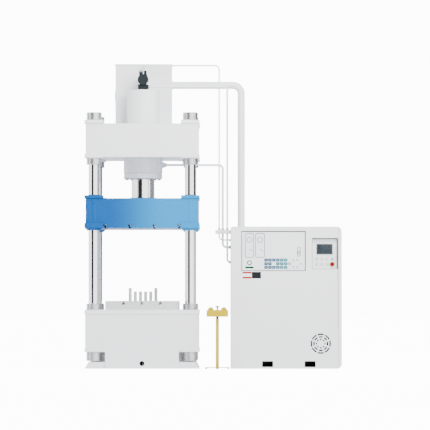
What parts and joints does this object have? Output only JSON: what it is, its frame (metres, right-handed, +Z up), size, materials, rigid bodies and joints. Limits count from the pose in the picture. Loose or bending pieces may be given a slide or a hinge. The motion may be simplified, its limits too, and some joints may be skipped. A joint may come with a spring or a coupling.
{
  "type": "hydraulic press",
  "caption": "Four-column hydraulic press with a blue slide, top cylinder and tank, piped to a separate power unit, with a two-hand control stand.",
  "frame": {"origin": "on the floor under the press axis, midway between the columns", "axes": "+Z up; +X to the power unit, right of the press as the operator sees it; +Y to the back"},
  "size_m": [3.758, 1.716, 4.525],
  "materials": {
    "white_paint": "satin",
    "machined_steel": "fine turned and ground",
    "chrome_steel": "polished hard chrome",
    "blue_paint": "satin",
    "bronze": "turned",
    "dark_casting": "painted casting",
    "unit_paint": "fine powder coat",
    "dark_steel": "satin",
    "zinc_sheet": "zinc plated",
    "grey_plastic": "fine texture",
    "screen_plastic": "fine texture",
    "button_plastic": "gloss",
    "red_plastic": "gloss",
    "black_plastic": "satin",
    "yellow_paint": "satin",
    "black_rubber": "matte"
  },
  "bodies": {
    "frame": {"bed": "white_paint", "corner_feet": "white_paint", "crown": "white_paint", "cylinder_body": "white_paint", "gland_ring": "white_paint", "oil_tank": "white_paint", "return_pipe": "white_paint", "pilot_pipe": "white_paint", "pressure_pipe": "white_paint", "lift_pipe": "white_paint", "suction_pipe": "white_paint", "pipe_bracket": "white_paint", "bolster_plate": "machined_steel", "lower_lock_nuts": "machined_steel", "bed_collar_nuts": "machined_steel", "crown_collar_nuts": "machined_steel", "upper_lock_nuts": "machined_steel", "cylinder_lock_ring": "machined_steel", "ejector_cylinder": "machined_steel", "column_front_left": "chrome_steel", "column_front_right": "chrome_steel", "column_rear_left": "chrome_steel", "column_rear_right": "chrome_steel", "prefill_valve": "dark_casting", "prefill_solenoids": "dark_casting", "hydraulic_pump": "dark_casting", "pump_motor": "dark_casting", "cabinet_wrap": "unit_paint", "cabinet_front_panel": "unit_paint", "cabinet_rear_panel": "unit_paint", "hmi_housing": "unit_paint", "cabinet_skid": "dark_steel", "fan_frame": "dark_steel", "electrical_box": "zinc_sheet", "control_devices": "grey_plastic", "hmi_screen": "screen_plastic", "stand_frame": "yellow_paint", "stand_box": "yellow_paint", "stand_rubbers": "black_rubber"},
    "slide": {"slide_beam": "blue_paint", "guide_bushes": "bronze", "bush_caps": "blue_paint", "piston_rod": "chrome_steel"},
    "ejector": {"ejector_plate": "machined_steel", "ejector_rod": "machined_steel", "ejector_pins": "machined_steel"},
    "door": {"door_panel": "unit_paint"},
    "handle": {"door_handle": "unit_paint"},
    "fan": {"fan_rotor": "screen_plastic"},
    "selector": {"key_selector": "grey_plastic"},
    "unit_stop": {"panel_stop": "red_plastic"},
    "palm_left": {"palm_button_left": "black_plastic"},
    "palm_right": {"palm_button_right": "black_plastic"},
    "stand_stop": {"stand_stop": "red_plastic"},
    "button_1": {"push_button_1": "button_plastic"},
    "button_2": {"push_button_2": "button_plastic"},
    "button_3": {"push_button_3": "button_plastic"},
    "button_4": {"push_button_4": "button_plastic"},
    "button_5": {"push_button_5": "button_plastic"},
    "button_6": {"push_button_6": "button_plastic"}
  },
  "joints": [
    {"name": "slide_stroke", "type": "slide", "parent": "frame", "child": "slide", "axis": [0, 0, 1], "range_m": [-0.54, 0.26]},
    {"name": "ejector_stroke", "type": "slide", "parent": "frame", "child": "ejector", "axis": [0, 0, 1], "range_m": [-0.195, 0.06]},
    {"name": "door_hinge", "type": "hinge", "parent": "frame", "child": "door", "pos_m": [1.468, -0.689, 1.716], "axis": [0, 0, -1], "range_deg": [0, 100]},
    {"name": "handle_turn", "type": "hinge", "parent": "door", "child": "handle", "pos_m": [2.291, -0.697, 1.749], "axis": [0, 1, 0], "range_deg": [0, 90]},
    {"name": "fan_spin", "type": "hinge", "parent": "frame", "child": "fan", "pos_m": [2.609, -0.662, 0.366], "axis": [0, 1, 0], "continuous": true},
    {"name": "selector_turn", "type": "hinge", "parent": "frame", "child": "selector", "pos_m": [2.778, -0.66, 1.603], "axis": [0, 1, 0], "range_deg": [-45, 45]},
    {"name": "button_1_press", "type": "slide", "parent": "frame", "child": "button_1", "axis": [0, 1, 0], "range_m": [0, 0.005], "stiffness_N_per_m": 300, "springref_m": -0.003},
    {"name": "button_2_press", "type": "slide", "parent": "frame", "child": "button_2", "axis": [0, 1, 0], "range_m": [0, 0.005], "stiffness_N_per_m": 300, "springref_m": -0.003},
    {"name": "button_3_press", "type": "slide", "parent": "frame", "child": "button_3", "axis": [0, 1, 0], "range_m": [0, 0.005], "stiffness_N_per_m": 300, "springref_m": -0.003},
    {"name": "button_4_press", "type": "slide", "parent": "frame", "child": "button_4", "axis": [0, 1, 0], "range_m": [0, 0.005], "stiffness_N_per_m": 300, "springref_m": -0.003},
    {"name": "button_5_press", "type": "slide", "parent": "frame", "child": "button_5", "axis": [0, 1, 0], "range_m": [0, 0.005], "stiffness_N_per_m": 300, "springref_m": -0.003},
    {"name": "button_6_press", "type": "slide", "parent": "frame", "child": "button_6", "axis": [0, 1, 0], "range_m": [0, 0.005], "stiffness_N_per_m": 300, "springref_m": -0.003},
    {"name": "unit_stop_press", "type": "slide", "parent": "frame", "child": "unit_stop", "axis": [0, 1, 0], "range_m": [0, 0.006], "stiffness_N_per_m": 500, "springref_m": -0.003},
    {"name": "palm_left_press", "type": "slide", "parent": "frame", "child": "palm_left", "axis": [0, 0, -1], "range_m": [0, 0.006], "stiffness_N_per_m": 600, "springref_m": -0.004},
    {"name": "palm_right_press", "type": "slide", "parent": "frame", "child": "palm_right", "axis": [0, 0, -1], "range_m": [0, 0.006], "stiffness_N_per_m": 600, "springref_m": -0.004},
    {"name": "stand_stop_press", "type": "slide", "parent": "frame", "child": "stand_stop", "axis": [0, 0, -1], "range_m": [0, 0.006], "stiffness_N_per_m": 600, "springref_m": -0.004}
  ]
}
